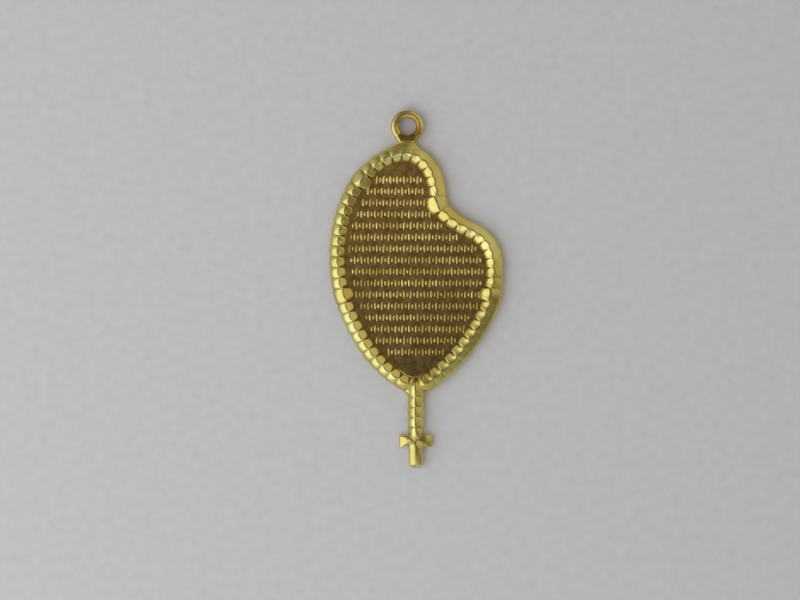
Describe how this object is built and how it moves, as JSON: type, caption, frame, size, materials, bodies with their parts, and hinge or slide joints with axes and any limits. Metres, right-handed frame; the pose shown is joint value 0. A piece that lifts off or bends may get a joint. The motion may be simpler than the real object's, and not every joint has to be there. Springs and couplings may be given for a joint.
{
  "type": "prayer pendant",
  "caption": "Raw brass prayer pendant: a string of beads bent into a lopsided heart around a panel of raised grains, with a bail loop above and a beaded stem and small cross below.",
  "frame": {"origin": "middle of the pendant's outline, on its flat back", "axes": "+X towards the low lobe of the heart, +Y along the pendant towards the bail loop, +Z out of its face"},
  "size_m": [0.0205, 0.0421, 0.0018],
  "materials": {
    "brass": "raw cast brass, softly bright on the beads and darker on the panel"
  },
  "bodies": {
    "root": {"pendant": "brass"}
  },
  "joints": []
}
